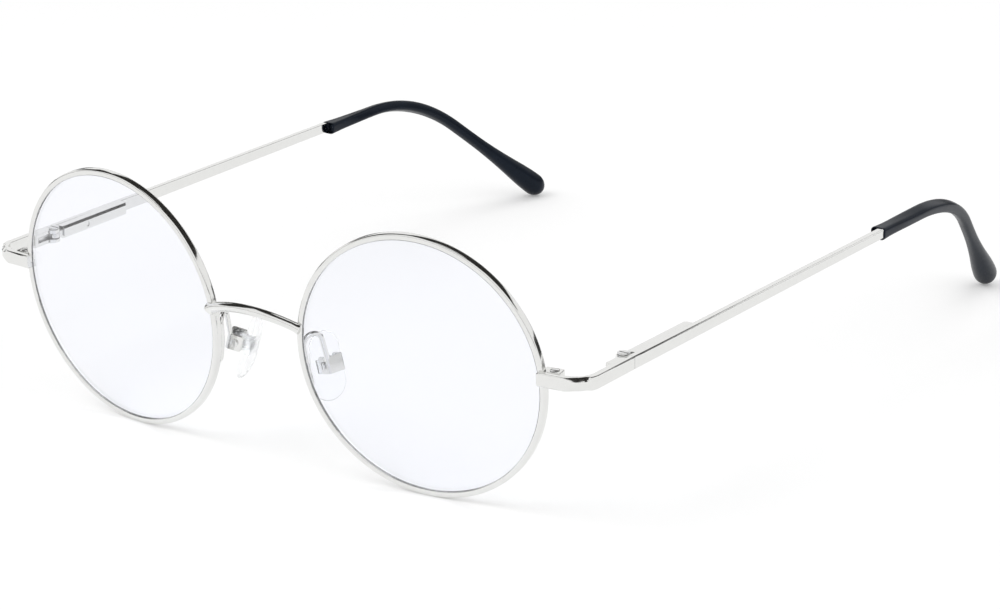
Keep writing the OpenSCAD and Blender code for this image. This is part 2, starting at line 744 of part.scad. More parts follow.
module nose_pad(side) {
    top_z = pad_len / 2 - pad_top_r;
    low_z = pad_low_r - pad_len / 2;
    color([0.93, 0.95, 0.97, 0.6]) on_side(side) pad_frame() difference() {
        translate([0, pad_front, -pad_drop]) rotate([0, pad_twist, 0]) intersection() {
            hull() {
                translate([0, 0, top_z]) pad_end(pad_top_r);
                translate([0, 0, low_z]) pad_end(pad_low_r);
            }
            translate([-pad_len, 0, -pad_len]) cube(2 * pad_len);
        }
        translate([-lug_w / 2 - bore_gap, 0, -lug_r - bore_gap])
            cube([lug_w + 2 * bore_gap, flange_y, 2 * (lug_r + bore_gap)]);
        translate([-flange_w / 2 - bore_gap, flange_y - braze - bore_gap, flange_low - bore_gap])
            cube([flange_w + 2 * bore_gap, flange_t + braze + 2 * bore_gap, flange_h + 2 * bore_gap]);
    }
}

bridge();
rim(left);  // left_rim
lens(left);  // left_lens
upper_block(left);  // left_upper_block
lower_block(left);  // left_lower_block
closing_screw(left);  // left_closing_screw
endpiece(left);  // left_endpiece
hinge_block(left);  // left_hinge_block
hinge_screw(left);  // left_hinge_screw
pad_arm(left);  // left_pad_arm
pad_box(left);  // left_pad_box
pad_screw(left);  // left_pad_screw
pad_core(left);  // left_pad_core
nose_pad(left);  // left_nose_pad
spring_slide(left);  // left_spring_slide
hinge_spring(left);  // left_hinge_spring
spring_stop(left);  // left_spring_stop
spring_housing(left);  // left_spring_housing
temple_bar(left);  // left_temple_bar
temple_tip(left);  // left_temple_tip
rim(right);  // right_rim
lens(right);  // right_lens
upper_block(right);  // right_upper_block
lower_block(right);  // right_lower_block
closing_screw(right);  // right_closing_screw
endpiece(right);  // right_endpiece
hinge_block(right);  // right_hinge_block
hinge_screw(right);  // right_hinge_screw
pad_arm(right);  // right_pad_arm
pad_box(right);  // right_pad_box
pad_screw(right);  // right_pad_screw
pad_core(right);  // right_pad_core
nose_pad(right);  // right_nose_pad
spring_slide(right);  // right_spring_slide
hinge_spring(right);  // right_hinge_spring
spring_stop(right);  // right_spring_stop
spring_housing(right);  // right_spring_housing
temple_bar(right);  // right_temple_bar
temple_tip(right);  // right_temple_tip
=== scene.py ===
"""Round metal eyeglasses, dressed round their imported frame."""

import json
import math

import bmesh
import bpy
from mathutils import Matrix, Vector


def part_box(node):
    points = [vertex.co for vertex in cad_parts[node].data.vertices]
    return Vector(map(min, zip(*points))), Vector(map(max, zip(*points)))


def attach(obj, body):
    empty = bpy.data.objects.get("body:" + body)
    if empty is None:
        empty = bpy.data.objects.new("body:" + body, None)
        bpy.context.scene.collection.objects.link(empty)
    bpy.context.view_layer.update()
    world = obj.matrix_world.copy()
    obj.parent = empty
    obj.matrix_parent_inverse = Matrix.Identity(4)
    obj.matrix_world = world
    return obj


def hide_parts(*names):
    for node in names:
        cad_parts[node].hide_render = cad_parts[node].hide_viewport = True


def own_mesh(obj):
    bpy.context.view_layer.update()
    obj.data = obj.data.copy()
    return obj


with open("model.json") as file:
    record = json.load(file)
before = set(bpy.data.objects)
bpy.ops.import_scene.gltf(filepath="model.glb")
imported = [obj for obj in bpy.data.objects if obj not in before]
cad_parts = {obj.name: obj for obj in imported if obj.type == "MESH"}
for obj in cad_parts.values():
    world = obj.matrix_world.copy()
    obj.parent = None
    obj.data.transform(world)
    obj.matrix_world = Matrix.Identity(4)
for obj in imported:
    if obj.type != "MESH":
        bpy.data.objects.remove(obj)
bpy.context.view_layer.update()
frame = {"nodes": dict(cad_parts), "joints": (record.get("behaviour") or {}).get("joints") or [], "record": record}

bl_info = {
    "name": "Round Eyeglasses",
    "version": (1, 0, 0),
    "blender": (4, 5, 0),
    "location": "3D View > Sidebar > Eyeglasses",
    "description": "Builds the visible pieces and the studio of a pair of round metal eyeglasses",
    "category": "Add Mesh",
}

MM = 0.001
SIDES = ("left", "right")
FULL_TURN = 2 * math.pi
UNMOVED = Matrix.Identity(4)

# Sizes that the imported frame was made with, in millimetres and degrees

# Lenses and rims
LENS_D = 45.9
LENS_T = 1.2
LENS_CURVE_R = 130.0
LENS_GAP = 0.05
NOSE_GAP = 18.6
FACE_WRAP = 5.9
FACE_TILT = 6.7
RIM_W = 1.05
RIM_DEPTH = 1.5
GROOVE_DEPTH = 0.45
GROOVE_W = 0.95
SPLIT_UP = 1.7
SPLIT_GAP = 0.2

# Bridge
BRIDGE_UP = 3.0
BRIDGE_RISE = 2.7
BRIDGE_LEAN = 40.0
BRIDGE_T = 1.45
BRIDGE_EXTRA = 0.3
BRIDGE_LAP = 0.2

# Endpieces
END_REACH = 8.1
END_UP = 2.1
END_H = 2.35
END_T = 1.25
END_PROUD = 0.9
END_BEND_R = 4.6
END_LEG = 10.2
PIN_INSET = 2.3

# Temple bars
BAR_T = 1.2
BAR_END_H = 1.8
BAR_LEN = 82.2
BAR_SLOPE = 0.95
BAR_START = 0.05
FLAT_GAP = 0.05
CORE_R = 0.45

# Temple tips
TIP_LEAD = 14.3
TIP_BEND_R = 36.0
TIP_ANGLE = 41.5
TIP_TAIL = 29.5
TIP_LEAN = 19.0
TIP_LOW = 0.14
TIP_IN = 0.55
TIP_START_H = 2.06
TIP_START_W = 2.6
TIP_END = 4.6

# Pad arms and their boxes
ARM_R = 0.45
FOOT_LEN = 7.0
FOOT_UP = -0.4
LOOP_R = 1.8
LOOP_ANGLE = 170.0
ARM_DROP = 3.9
ARM_TURN = 28.0
ARM_SINK = 0.3
BRAZE = 0.1
BOX_W = 3.2
BOX_DEPTH = 3.0
BOX_H = 2.9

# Nose pads
PAD_LEN = 12.0
PAD_W = 6.8
PAD_TOP_W = 5.6
PAD_T = 2.0
PAD_STAND = 0.35
PAD_TURN = 64.0
PAD_LEAN = 17.0
PAD_TWIST = 8.0
PAD_DROP = 0.5

# Fine detail that only the scene has, in millimetres and degrees. Powers, shares and counts have no unit.
GROOVE_EDGE = 0.04
GROOVE_ROOT = 0.03
BRIDGE_END_EDGE = 0.12
BAR_CORNER = 0.07
INSERT_EDGE = 0.06
CREASE = 28.0
COIL_TURNS = 15
COIL_CROWDING = 0.25
NECK_FROM = 20.0
NECK_RUN = 18.0
TAIL_FROM = 46.0
TAIL_RUN = 14.0
SWELL_EASE = 1.35
MOUTH_POWER = 4.0
NECK_POWER = 2.8
TAIL_ROUNDER = 0.8
PAD_CENTRE_LOW = 0.2
PAD_CROWN = 0.75

# The studio, in metres and degrees. The sensor's width is in millimetres.
FLOOR_HALF = 3.0
CAMERA_WAY = 35.25555
CAMERA_RISE = 18.20923
CAMERA_ROLL = -0.14073
CAMERA_BACK = 0.6393514
SENSOR = 36.0


def turn(axis, degrees):
    return Matrix.Rotation(math.radians(degrees), 4, axis)


def shift(x, y, z):
    return Matrix.Translation((x, y, z))


def joint_named(name):
    return next(j for j in frame["joints"] if j["name"] == name)


# Where the pieces sit, worked out from the sizes
GROOVE_R = LENS_D / 2 + LENS_GAP
RIM_IN_R = GROOVE_R - GROOVE_DEPTH
RIM_OUT_R = RIM_IN_R + RIM_W
RIM_MID_R = RIM_IN_R + RIM_W / 2
LENS_X = (LENS_D + NOSE_GAP) / 2
LENS_Z = (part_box("left_rim")[0].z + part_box("left_rim")[1].z) / 2 / MM
WRAP = math.radians(FACE_WRAP)
TILT = math.radians(FACE_TILT)
SLOPE = math.radians(BAR_SLOPE)
LOOP_END = math.radians(LOOP_ANGLE)
TIP_BEND = math.radians(TIP_ANGLE)

OUTER_X = LENS_X + RIM_OUT_R * math.cos(WRAP) + END_REACH
BEND_X = OUTER_X - END_BEND_R
TILT_BACK = -END_UP * math.tan(TILT)
BEND_Y = TILT_BACK + (END_BEND_R - END_PROUD + (BEND_X - LENS_X) * math.sin(WRAP)) / math.cos(WRAP)
INNER_LEG = (BEND_X - LENS_X) * math.cos(WRAP) + (BEND_Y - TILT_BACK) * math.sin(WRAP) - RIM_IN_R
PIN = Vector(joint_named("left_fold")["pos_m"]) / MM
SHIFT_Y = PIN.y - (BEND_Y + END_LEG)
HINGE = shift(*PIN) @ turn("X", BAR_SLOPE)
RIM = shift(0, SHIFT_Y, PIN.z - END_UP - (BEND_Y + END_LEG) * math.tan(SLOPE)) \
    @ turn("X", FACE_TILT) @ shift(LENS_X, 0, 0) @ turn("Z", FACE_WRAP)

BRIDGE_HALF = LENS_X - (math.sqrt(RIM_MID_R ** 2 - BRIDGE_UP ** 2) - BRIDGE_LAP) * math.cos(WRAP)
BRIDGE_R = (BRIDGE_HALF ** 2 + BRIDGE_RISE ** 2) / (2 * BRIDGE_RISE)
BRIDGE_Y = -(LENS_X - BRIDGE_HALF) * math.tan(WRAP) - BRIDGE_UP * math.tan(TILT) + SHIFT_Y
BRIDGE = shift(0, BRIDGE_Y, LENS_Z + BRIDGE_UP) @ turn("X", BRIDGE_LEAN) @ shift(0, 0, BRIDGE_RISE - BRIDGE_R)

TIP_ARC = TIP_BEND_R * TIP_BEND
TIP_LEN = TIP_LEAD + TIP_ARC + TIP_TAIL
TIP_X = PIN_INSET - BAR_T + CORE_R + FLAT_GAP - TIP_IN

LOOP_OUT = LOOP_R * (1 - math.cos(LOOP_END)) + ARM_DROP * math.sin(LOOP_END)
LOOP_FALL = LOOP_R * math.sin(LOOP_END) + ARM_DROP * math.cos(LOOP_END)
ARM = RIM @ shift(-RIM_MID_R, RIM_DEPTH + ARM_R - BRAZE, FOOT_UP) @ turn("Z", 90 - ARM_TURN)
BOX = ARM @ shift(LOOP_OUT, 0, LOOP_FALL) @ turn("Z", ARM_TURN - 90 + PAD_TURN) @ turn("X", -PAD_LEAN) \
    @ shift(BOX_W / 2 - ARM_R, BOX_DEPTH / 2 - ARM_R, ARM_SINK - BOX_H / 2)
PAD = BOX @ shift(0, BOX_DEPTH / 2 + PAD_STAND, -PAD_DROP) @ turn("Y", PAD_TWIST)

# The point that the camera looks at, in metres
LOOK_AT = Vector((20.36136, 40.0 + SHIFT_Y, 21.34488)) * MM


# Meshes

def smooth(x):
    """Eases from 0 to 1."""
    x = min(1, max(0, x))
    return x * x * (3 - 2 * x)


def rounded(corners, steps):
    """Rounds a closed outline whose corners are (x, y, radius)."""
    line = []
    for i, (x, y, r) in enumerate(corners):
        if r <= 0:
            line.append((x, y))
            continue
        here = Vector((x, y))
        before = (Vector(corners[i - 1][:2]) - here).normalized()
        after = (Vector(corners[(i + 1) % len(corners)][:2]) - here).normalized()
        half = before.angle(after) / 2
        middle = here + (before + after).normalized() * (r / math.sin(half))
        start = here + before * (r / math.tan(half)) - middle
        end = here + after * (r / math.tan(half)) - middle
        arc = start.angle_signed(end)
        for k in range(steps + 1):
            part = -arc * k / steps
            c = math.cos(part)
            s = math.sin(part)
            line.append((middle.x + start.x * c - start.y * s, middle.y + start.x * s + start.y * c))
    return line


def squared(power, count):
    """Points round a unit circle that is drawn out towards a square as the power grows from 2."""
    points = []
    for k in range(count):
        c = math.cos(FULL_TURN * k / count)
        s = math.sin(FULL_TURN * k / count)
        points.append((math.copysign(abs(c) ** (2 / power), c), math.copysign(abs(s) ** (2 / power), s)))
    return points


def loft(rings):
    """Joins rings of equally many points into a skin that is closed at both ends."""
    count = len(rings[0])
    points = [Vector(p) for ring in rings for p in ring]
    faces = []
    for r in range(len(rings) - 1):
        a = r * count
        b = a + count
        faces += [(a + i, a + (i + 1) % count, b + (i + 1) % count, b + i) for i in range(count)]
    faces.append(tuple(reversed(range(count))))
    faces.append(tuple(range((len(rings) - 1) * count, len(rings) * count)))
    return points, faces


def tube(path, radius, sides, first=(1.0, 1.0)):
    """A round skin along a path. The shares in first make its first two rings smaller."""
    rings = []
    across = (path[1] - path[0]).normalized().orthogonal().normalized()
    for i, p in enumerate(path):
        ahead = (path[min(i + 1, len(path) - 1)] - path[max(i - 1, 0)]).normalized()
        across = (across - ahead * across.dot(ahead)).normalized()
        up = ahead.cross(across)
        grow = radius * (first[i] if i < len(first) else 1.0)
        ring = []
        for k in range(sides):
            a = FULL_TURN * k / sides
            ring.append(p + grow * (math.cos(a) * across + math.sin(a) * up))
        rings.append(ring)
    return loft(rings)


def round_edges(bm, radius, segments):
    """Rounds every edge that turns by more than CREASE degrees."""
    edges = [e for e in bm.edges if len(e.link_faces) == 2 and e.calc_face_angle() > math.radians(CREASE)]
    bmesh.ops.bevel(bm, geom=edges, offset=radius, segments=segments, profile=0.5, affect="EDGES",
                    clamp_overlap=True)


def make_piece(name, skin, place, side, slot, body, node, sharp=35.0, edge=0.0):
    """Makes one piece from a skin drawn in millimetres for the left side, and mirrors it for the right."""
    points, faces = skin
    bm = bmesh.new()
    made = [bm.verts.new(place @ p) for p in points]
    for face in faces:
        bm.faces.new([made[i] for i in face])
    bmesh.ops.remove_doubles(bm, verts=bm.verts, dist=0.0005)
    if edge:
        round_edges(bm, edge, 3)
    if side == "right":
        bmesh.ops.scale(bm, vec=(-1, 1, 1), verts=bm.verts)
    return dress(name, bm, slot, body, node, sharp)


def softened(name, node, slot, body, edge, segments=2):
    """Rebuilds a machined node with its edges broken, as plating and tumbling leave them."""
    bm = bmesh.new()
    bm.from_mesh(frame["nodes"][node].data)
    bmesh.ops.scale(bm, vec=(1 / MM,) * 3, verts=bm.verts)
    bmesh.ops.remove_doubles(bm, verts=bm.verts, dist=0.002)
    bmesh.ops.dissolve_limit(bm, angle_limit=math.radians(0.6), verts=bm.verts, edges=bm.edges)
    round_edges(bm, edge, segments)
    return dress(name, bm, slot, body, node, 35.0)


def dress(name, bm, slot, body, node, sharp):
    """Turns a mesh in millimetres into a shaded piece that rides on its body and replaces its node."""
    bmesh.ops.recalc_face_normals(bm, faces=bm.faces)
    bmesh.ops.scale(bm, vec=(MM, MM, MM), verts=bm.verts)
    mesh = bpy.data.meshes.new(name)
    bm.to_mesh(mesh)
    bm.free()
    mesh.shade_smooth()
    mesh.set_sharp_from_angle(angle=math.radians(sharp))
    mesh.materials.append(slot_material(slot))
    piece = bpy.data.objects.new(name, mesh)
    bpy.context.scene.collection.objects.link(piece)
    level = piece.modifiers.new("flat_faces", "WEIGHTED_NORMAL")
    level.keep_sharp = True
    level.weight = 80
    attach(piece, body)
    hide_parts(node)
    return piece


# Materials

def new_material(name):
    material = bpy.data.materials.new(name)
    material.use_nodes = True
    tree = material.node_tree
    return material, tree, tree.nodes["Principled BSDF"]


def shaded(colour, share):
    return tuple(x * share for x in colour)


def noise(tree, scale, detail, rough, stretch=(1, 1, 1)):
    """Object-space noise, in features per metre."""
    where = tree.nodes.new("ShaderNodeTexCoord")
    place = tree.nodes.new("ShaderNodeMapping")
    place.inputs["Scale"].default_value = stretch
    grain = tree.nodes.new("ShaderNodeTexNoise")
    grain.inputs["Scale"].default_value = scale
    grain.inputs["Detail"].default_value = detail
    grain.inputs["Roughness"].default_value = rough
    tree.links.new(where.outputs["Object"], place.inputs["Vector"])
    tree.links.new(place.outputs["Vector"], grain.inputs["Vector"])
    return grain.outputs["Fac"]


def ramp(tree, source, *stops):
    """Turns a source from 0 to 1 into the greys or colours of its stops, given as (place, value)."""
    node = tree.nodes.new("ShaderNodeValToRGB")
    tree.links.new(source, node.inputs["Fac"])
    while len(node.color_ramp.elements) < len(stops):
        node.color_ramp.elements.new(0.5)
    for element, (at, value) in zip(node.color_ramp.elements, stops):
        element.position = at
        element.color = (*value, 1) if isinstance(value, tuple) else (value, value, value, 1)
    return node.outputs["Color"]


def bump(tree, shader, height, strength, distance):
    node = tree.nodes.new("ShaderNodeBump")
    node.inputs["Strength"].default_value = strength
    node.inputs["Distance"].default_value = distance
    tree.links.new(height, node.inputs["Height"])
    tree.links.new(node.outputs["Normal"], shader.inputs["Normal"])


def painted_crevice_shade(tree, colour, reach, least):
    """Paints shade into a colour, from ambient occlusion, in crevices of the piece itself that are narrower than
    reach, in metres.
    """
    # Painted shade: the colour is multiplied by the occlusion, so crevices come out darker.
    near = tree.nodes.new("ShaderNodeAmbientOcclusion")
    near.samples = 8
    near.only_local = True
    near.inputs["Distance"].default_value = reach
    shade = ramp(tree, near.outputs["AO"], (0.25, least), (0.8, 1.0))
    mix = tree.nodes.new("ShaderNodeMix")
    mix.data_type = "RGBA"
    mix.blend_type = "MULTIPLY"
    mix.inputs[0].default_value = 1.0
    tree.links.new(colour, mix.inputs[6])
    tree.links.new(shade, mix.inputs[7])
    return mix.outputs[2]


def see_through(tree, shader, shade):
    """Lets light through to the floor, tinted, as clear pieces do."""
    path = tree.nodes.new("ShaderNodeLightPath")
    clear = tree.nodes.new("ShaderNodeBsdfTransparent")
    clear.inputs["Color"].default_value = (*shade, 1)
    mix = tree.nodes.new("ShaderNodeMixShader")
    tree.links.new(path.outputs["Is Shadow Ray"], mix.inputs[0])
    tree.links.new(shader.outputs["BSDF"], mix.inputs[1])
    tree.links.new(clear.outputs["BSDF"], mix.inputs[2])
    tree.links.new(mix.outputs["Shader"], tree.nodes["Material Output"].inputs["Surface"])


def plated_metal(look):
    """Polished silver-coloured plating: faint clouds, fine polishing marks, a soft ripple, and painted shade in
    its crevices.
    """
    material, tree, shader = new_material("silver_plating")
    shader.inputs["Metallic"].default_value = 1.0
    clouds = noise(tree, scale=900.0, detail=5.0, rough=0.6)
    c = look.metal_colour
    tint = ramp(tree, clouds, (0.25, shaded(c, 0.965)), (0.75, tuple(c)))
    # Painted shade: the plating's colour darkens in its own crevices narrower than 1.2 mm.
    tree.links.new(painted_crevice_shade(tree, tint, 0.0012, 0.04), shader.inputs["Base Color"])
    marks = noise(tree, scale=2600.0, detail=6.0, rough=0.65, stretch=(1, 0.12, 1))
    low = look.metal_roughness
    tree.links.new(ramp(tree, marks, (0.3, low), (0.8, low + 0.07)), shader.inputs["Roughness"])
    bump(tree, shader, noise(tree, scale=420.0, detail=2.0, rough=0.4), 0.12, 0.00002)
    return material


def screw_steel(look):
    """Turned steel: fine tool marks, and painted shade that darkens the slot and other crevices."""
    material, tree, shader = new_material("screw_steel")
    shader.inputs["Metallic"].default_value = 1.0
    grain = noise(tree, scale=5200.0, detail=5.0, rough=0.7)
    tint = ramp(tree, grain, (0.3, (0.66, 0.66, 0.66)), (0.7, (0.8, 0.8, 0.79)))
    # Painted shade: the steel's colour darkens in its slot and crevices narrower than 0.6 mm.
    tree.links.new(painted_crevice_shade(tree, tint, 0.0006, 0.05), shader.inputs["Base Color"])
    tree.links.new(ramp(tree, grain, (0.3, 0.1), (0.8, 0.2)), shader.inputs["Roughness"])
    bump(tree, shader, grain, 0.15, 0.00001)
    return material


def lens_glass(look):
    """Clear coated lens with a faint blue cast and the slightest waviness of its coating."""
    material, tree, shader = new_material("clear_lens")
    shader.inputs["Transmission Weight"].default_value = 1.0
    shader.inputs["IOR"].default_value = 1.5
    film = noise(tree, scale=60.0, detail=2.0, rough=0.4)
    c = look.lens_colour
    tree.links.new(ramp(tree, film, (0.3, shaded(c, 0.996)), (0.7, tuple(c))), shader.inputs["Base Color"])
    tree.links.new(ramp(tree, film, (0.2, 0.0), (0.9, 0.012)), shader.inputs["Roughness"])
    see_through(tree, shader, (0.96, 0.97, 0.98))
    return material


def pad_silicone(look):
    """Soft clear silicone with a satin skin."""
    material, tree, shader = new_material("clear_silicone")
    shader.inputs["Transmission Weight"].default_value = 1.0
    shader.inputs["IOR"].default_value = 1.14
    shader.inputs["Alpha"].default_value = 0.4
    skin = noise(tree, scale=2400.0, detail=4.0, rough=0.5)
    c = look.pad_colour
    tree.links.new(ramp(tree, skin, (0.3, shaded(c, 0.985)), (0.7, tuple(c))), shader.inputs["Base Color"])
    tree.links.new(ramp(tree, skin, (0.3, 0.06), (0.8, 0.16)), shader.inputs["Roughness"])
    bump(tree, shader, skin, 0.1, 0.00002)
    see_through(tree, shader, (0.93, 0.94, 0.95))
    return material


def pad_plastic(look):
    """Hard clear insert inside each pad."""
    material, tree, shader = new_material("pad_plastic")
    shader.inputs["Transmission Weight"].default_value = 0.9
    shader.inputs["IOR"].default_value = 1.46
    flow = noise(tree, scale=1500.0, detail=3.0, rough=0.5)
    tint = ramp(tree, flow, (0.3, (0.9, 0.92, 0.94)), (0.7, (0.96, 0.97, 0.98)))
    tree.links.new(tint, shader.inputs["Base Color"])
    tree.links.new(ramp(tree, flow, (0.3, 0.08), (0.8, 0.2)), shader.inputs["Roughness"])
    see_through(tree, shader, (0.9, 0.91, 0.92))
    return material


def tip_plastic(look):
    """Blue-black moulded tip: satin, with a faint depth of colour and fine handling marks."""
    material, tree, shader = new_material("dark_tip")
    c = look.tip_colour
    body = noise(tree, scale=260.0, detail=4.0, rough=0.55)
    bright = tuple(min(1, x) for x in shaded(c, 1.25))
    tree.links.new(ramp(tree, body, (0.25, shaded(c, 0.75)), (0.8, bright)), shader.inputs["Base Color"])
    marks = noise(tree, scale=3200.0, detail=6.0, rough=0.7, stretch=(1, 0.2, 1))
    low = look.tip_roughness
    tree.links.new(ramp(tree, marks, (0.35, low), (0.85, low + 0.1)), shader.inputs["Roughness"])
    shader.inputs["Specular IOR Level"].default_value = 0.16
    shader.inputs["Specular Tint"].default_value = (0.72, 0.84, 1.0, 1)
    bump(tree, shader, marks, 0.08, 0.00003)
    return material


MAKERS = {"silver_metal": plated_metal, "screw_steel": screw_steel, "clear_lens": lens_glass,
          "clear_silicone": pad_silicone, "pad_plastic": pad_plastic, "dark_tip": tip_plastic}
made_materials = {}


def slot_material(slot):
    """The material of a slot, made once."""
    if slot not in made_materials:
        made_materials[slot] = MAKERS[slot](bpy.context.scene.eyewear_looks)
    return made_materials[slot]


# Settings

def length(name, description, value):
    """A size that is given in millimetres and kept in Blender's metres."""
    return bpy.props.FloatProperty(name=name, description=description, default=value * MM, min=0.0,
                                   max=3 * value * MM, unit="LENGTH", precision=5)


def colour_choice(name, description, value):
    return bpy.props.FloatVectorProperty(name=name, description=description, default=value, min=0, max=1,
                                         subtype="COLOR")


def fraction(name, description, value):
    return bpy.props.FloatProperty(name=name, description=description, default=value, min=0, max=1,
                                   subtype="FACTOR")


class EyewearSizes(bpy.types.PropertyGroup):
    rim_outer_round: length("Rim's outer rounding", "Radius of the rim wire's outer edges", 0.36)
    rim_inner_round: length("Rim's inner rounding", "Radius of the rim wire's inner edges", 0.2)
    endpiece_bevel: length("Endpiece bevel", "Width of the endpiece's bevels, each way", 0.22)
    bend_bevel: length("Bend bevel", "Width of those bevels at the middle of the bend", 0.66)
    bar_bevel: length("Temple bevel", "Width of the temple bar's bevels, each way", 0.22)
    block_edge: length("Block edges", "Rounding of the closing blocks and spring housings", 0.1)
    small_edge: length("Small edges", "Rounding of the screws and of the slides", 0.04)
    knuckle_edge: length("Hinge edges", "Rounding of the hinge blocks", 0.07)
    pad_box_edge: length("Pad box edges", "Rounding of the pad boxes", 0.24)
    spring_wire: length("Spring wire", "Thickness of the hinge springs' wire", 0.16)
    fillet_length: length("Bridge fillet", "Length over which the bridge widens into the rims", 1.3)
    fillet_height: length("Bridge fillet's height", "How much the bridge widens at the rims, each way", 0.2)
    tip_neck: length("Tip neck", "Thickness of the tips where they are thinnest", 2.2)
    tip_swell_length: length("Tip swell", "Length over which the tips swell towards their ends", 23.0)
    tip_cap_length: length("Tip cap", "Length of the tips' rounded ends", 2.9)
    tip_lip: length("Tip lip", "How much the tips' mouths stand out", 0.13)
    tip_lip_length: length("Tip lip's length", "Length over which the tips' mouths narrow", 5.0)
    pad_rim: length("Pad rim", "Thickness of the nose pads at their rims", 0.26)


class EyewearLooks(bpy.types.PropertyGroup):
    metal_colour: colour_choice("Metal colour", "Colour of the plating", (0.79, 0.79, 0.775))
    metal_roughness: fraction("Metal roughness", "Least roughness of the plating", 0.07)
    lens_colour: colour_choice("Lens colour", "Cast of the lenses", (0.937, 0.947, 0.985))
    pad_colour: colour_choice("Pad colour", "Colour of the nose pads", (0.95, 0.965, 0.98))
    tip_colour: colour_choice("Tip colour", "Colour of the temple tips", (0.0048, 0.0078, 0.0145))
    tip_roughness: fraction("Tip roughness", "Least roughness of the tips", 0.27)


class EyewearStudio(bpy.types.PropertyGroup):
    focal_length: bpy.props.FloatProperty(
        name="Focal length", description="Focal length of the camera", default=131.88, min=20, max=300,
        unit="CAMERA")
    light_level: bpy.props.FloatProperty(
        name="Light level", description="Strength of the soft lamps", default=0.62, min=0, max=5)
    floor_colour: colour_choice("Floor colour", "Colour of the floor", (0.8, 0.8, 0.8))
    floor_glow: fraction("Floor glow", "White added to the floor where it is seen", 0.22)


# Rims and lenses

def rim_skin(size):
    """The grooved wire from one side of its split round to the other."""
    half = GROOVE_W / 2
    middle = RIM_DEPTH / 2
    inner = size.rim_inner_round / MM
    outer = size.rim_outer_round / MM
    outline = rounded([
        (RIM_IN_R, middle - half, GROOVE_EDGE), (RIM_IN_R, 0, inner), (RIM_OUT_R, 0, outer),
        (RIM_OUT_R, RIM_DEPTH, outer), (RIM_IN_R, RIM_DEPTH, inner), (RIM_IN_R, middle + half, GROOVE_EDGE),
        (GROOVE_R, middle, GROOVE_ROOT)], 5)
    start = math.asin((SPLIT_UP + SPLIT_GAP / 2) / RIM_OUT_R)
    end = math.asin((SPLIT_UP - SPLIT_GAP / 2) / RIM_OUT_R) + FULL_TURN
    steps = 288
    rings = []
    for k in range(steps + 1):
        a = start + (end - start) * k / steps
        rings.append([(r * math.cos(a), d, r * math.sin(a)) for r, d in outline])
    return loft(rings)


def lens_skin():
    """A curved lens with a bevelled edge, from the middle of its front round to the middle of its back."""
    body_r = RIM_IN_R - LENS_GAP
    radii = [0.02] + [body_r * k / 24 for k in range(1, 24)] + [body_r]
    front = [(r, LENS_CURVE_R - math.sqrt(LENS_CURVE_R ** 2 - r * r)) for r in radii]
    back = [(r, LENS_CURVE_R - math.sqrt((LENS_CURVE_R - LENS_T) ** 2 - r * r)) for r in radii]
    middle = (front[-1][1] + back[-1][1]) / 2
    half = (GROOVE_W / 2 - LENS_GAP) * (LENS_D / 2 - body_r) / GROOVE_DEPTH
    edge = [(body_r, middle - half), (LENS_D / 2, middle), (body_r, middle + half)]
    base = RIM_DEPTH / 2 - middle
    steps = 192
    ways = [(math.cos(FULL_TURN * k / steps), math.sin(FULL_TURN * k / steps)) for k in range(steps)]
    return loft([[(r * c, base + d, r * s) for c, s in ways] for r, d in front + edge + back[::-1]])


class EYEWEAR_OT_rims(bpy.types.Operator):
    """Build the two grooved rims and their lenses"""
    bl_idname = "eyewear.rims"
    bl_label = "Rims and Lenses"

    def execute(self, context):
        rim = rim_skin(context.scene.eyewear_sizes)
        lens = lens_skin()
        for side in SIDES:
            make_piece(f"{side}_rim_wire", rim, RIM, side, "silver_metal", "front", f"{side}_rim")
            make_piece(f"{side}_lens_clear", lens, RIM, side, "clear_lens", "front", f"{side}_lens",
                       sharp=25.0)
        return {"FINISHED"}


# Bridge

def bridge_skin(size):
    """The arched wire, which widens into a fillet at each end."""
    fillet_length = size.fillet_length / MM
    fillet_more = size.fillet_height / MM / (BRIDGE_T / 2)
    section = [(BRIDGE_T / 2 * u, (BRIDGE_T + BRIDGE_EXTRA) / 2 * v) for u, v in squared(3.0, 40)]
    reach = math.asin(BRIDGE_HALF / BRIDGE_R)
    steps = 72
    rings = []
    for k in range(steps + 1):
        a = -reach + 2 * reach * k / steps
        from_end = (reach - abs(a)) * BRIDGE_R
        wider = 1 + fillet_more * max(0, 1 - from_end / fillet_length) ** 2
        ring = []
        for u, v in section:
            r = BRIDGE_R + v * wider
            ring.append((r * math.sin(a), u * wider, r * math.cos(a)))
        rings.append(ring)
    return loft(rings)


class EYEWEAR_OT_bridge(bpy.types.Operator):
    """Build the arched bridge with the fillets where it is brazed to the rims"""
    bl_idname = "eyewear.bridge"
    bl_label = "Bridge"

    def execute(self, context):
        skin = bridge_skin(context.scene.eyewear_sizes)
        make_piece("bridge_wire", skin, BRIDGE, "left", "silver_metal", "front", "bridge",
                   edge=BRIDGE_END_EDGE)
        return {"FINISHED"}


# Endpieces and closing blocks

def bar_outline(t, h, bevel):
    """A flat bar's section, with a bevel along both edges of its outer side."""
    corners = [(bevel, -h / 2), (t, -h / 2), (t, h / 2), (bevel, h / 2), (0, h / 2 - bevel),
               (0, bevel - h / 2)]
    return rounded([(x, y, BAR_CORNER) for x, y in corners], 3)


